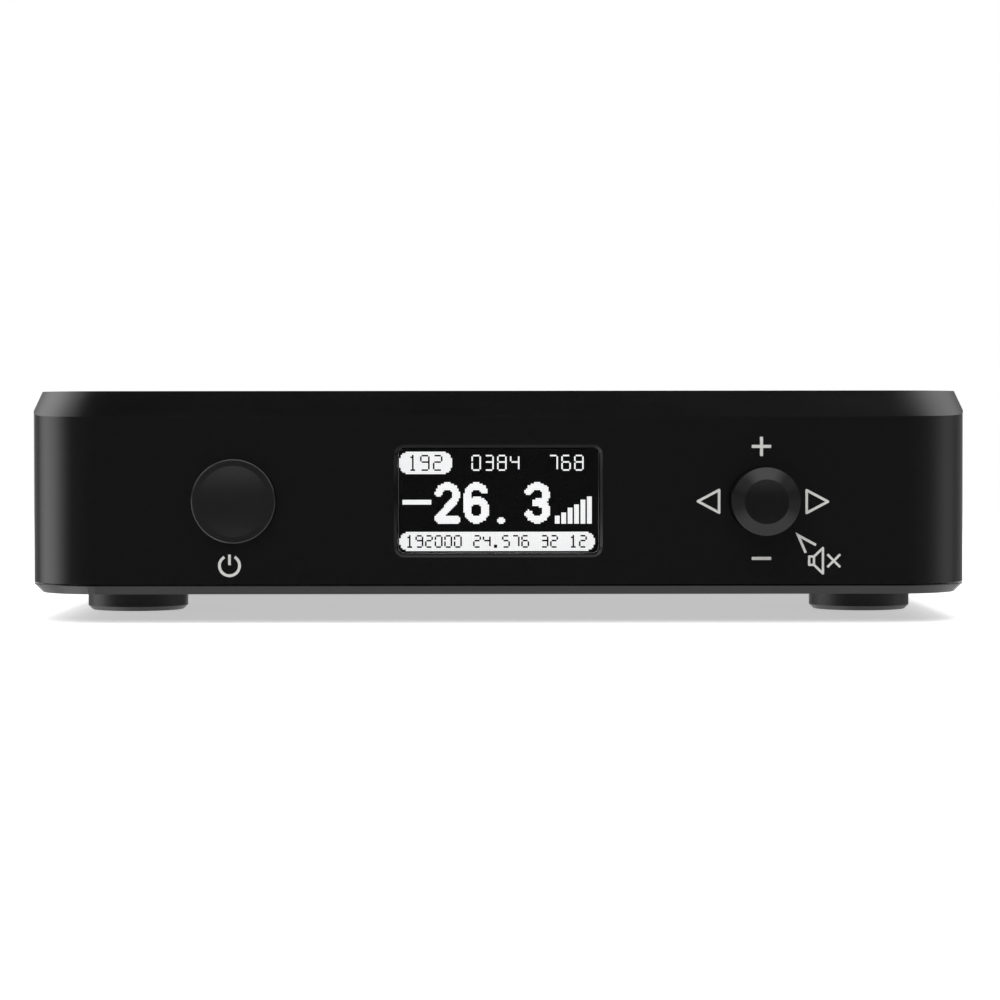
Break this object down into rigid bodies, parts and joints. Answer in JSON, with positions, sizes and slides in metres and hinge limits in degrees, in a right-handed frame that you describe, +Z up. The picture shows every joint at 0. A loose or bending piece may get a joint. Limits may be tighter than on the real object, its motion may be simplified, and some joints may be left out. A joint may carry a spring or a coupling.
{
  "type": "desktop dac",
  "caption": "Low black aluminium desktop audio converter with a display window, a power button, a five-way joystick knob and sockets at the back.",
  "frame": {"origin": "on the desk, under the centre of the bounding box", "axes": "+Z up, the front faces -Y, +X is right seen from the front"},
  "size_m": [0.103, 0.1484, 0.0254],
  "materials": {
    "black_anodised": "satin anodised, fine blasted grain",
    "black_screw": "black oxide",
    "black_rubber": "matte",
    "black_foam": "closed-cell foam",
    "smoked_lens": "clear gloss with a slight smoke tint",
    "display_glass": "gloss black",
    "ribbon_film": "amber film",
    "white_plastic": "satin moulded",
    "black_plastic": "satin moulded",
    "red_plastic": "satin moulded",
    "bright_steel": "plain rolled",
    "gold_plate": "bright plated",
    "board_green": "solder mask",
    "chip_black": "moulded epoxy",
    "can_sleeve": "printed sleeve",
    "film_red": "dipped",
    "white_print": "screen printed ink",
    "display_light": "lit display dots"
  },
  "bodies": {
    "case": {"upper_case": "black_anodised", "bottom_cover": "black_anodised", "rear_panel": "black_anodised", "foot_front_left": "black_rubber", "foot_front_right": "black_rubber", "foot_rear_left": "black_rubber", "foot_rear_right": "black_rubber", "bottom_screws": "black_screw", "rear_panel_screws": "black_screw", "display_window": "smoked_lens", "display_gasket": "black_foam", "display_panel": "display_glass", "display_backing_pad": "black_foam", "display_ribbon": "ribbon_film", "power_switch_body": "black_plastic", "joystick_housing": "black_plastic", "joystick_cover_plate": "bright_steel", "front_board": "board_green", "front_board_screws": "bright_steel", "board_headers": "white_plastic", "board_ribbon": "white_plastic", "main_board": "board_green", "board_standoffs": "gold_plate", "board_screws": "bright_steel", "data_receiver_chip": "chip_black", "controller_chip": "chip_black", "converter_chips": "chip_black", "amplifier_chips": "chip_black", "clock_oscillators": "bright_steel", "voltage_regulators": "chip_black", "power_inductor": "chip_black", "output_relays": "white_plastic", "electrolytic_capacitors": "can_sleeve", "film_capacitors": "film_red", "small_chip_parts": "white_plastic", "supply_jack_body": "black_plastic", "supply_jack_pin": "bright_steel", "data_socket_shell": "bright_steel", "data_socket_insert": "black_plastic", "data_socket_tongue": "white_plastic", "optical_socket_body": "black_plastic", "optical_shutter_pin": "bright_steel", "left_jack_shell": "gold_plate", "left_jack_insulator": "white_plastic", "left_jack_contact": "gold_plate", "right_jack_shell": "gold_plate", "right_jack_insulator": "red_plastic", "right_jack_contact": "gold_plate", "coaxial_jack_shell": "gold_plate", "coaxial_jack_insulator": "black_plastic", "coaxial_jack_contact": "gold_plate", "jack_blocks": "black_plastic"},
    "power_button": {"power_button_cap": "black_anodised", "power_switch_plunger": "white_plastic"},
    "joystick_gimbal": {"joystick_gimbal_ring": "bright_steel"},
    "joystick_rocker": {"joystick_rocker": "black_plastic"},
    "joystick_knob": {"joystick_knob": "black_anodised", "joystick_stem": "bright_steel"},
    "optical_shutter": {"optical_shutter": "black_plastic"}
  },
  "joints": [
    {"name": "power_button_press", "type": "slide", "parent": "case", "child": "power_button", "axis": [0, 1, 0], "range_m": [0, 0.0005], "stiffness_N_per_m": 1500},
    {"name": "joystick_tilt_up_down", "type": "hinge", "parent": "case", "child": "joystick_gimbal", "pos_m": [0.0287, -0.0621, 0.01335], "axis": [1, 0, 0], "range_deg": [-5, 5], "stiffness_Nm_per_rad": 0.2},
    {"name": "joystick_tilt_left_right", "type": "hinge", "parent": "joystick_gimbal", "child": "joystick_rocker", "pos_m": [0.0287, -0.0621, 0.01335], "axis": [0, 0, 1], "range_deg": [-5, 5], "stiffness_Nm_per_rad": 0.2},
    {"name": "joystick_press", "type": "slide", "parent": "joystick_rocker", "child": "joystick_knob", "axis": [0, 1, 0], "range_m": [0, 0.00035], "stiffness_N_per_m": 1500},
    {"name": "optical_shutter_swing", "type": "hinge", "parent": "case", "child": "optical_shutter", "pos_m": [-0.0076, 0.0658, 0.0194], "axis": [-1, 0, 0], "range_deg": [0, 88], "stiffness_Nm_per_rad": 0.0005}
  ]
}
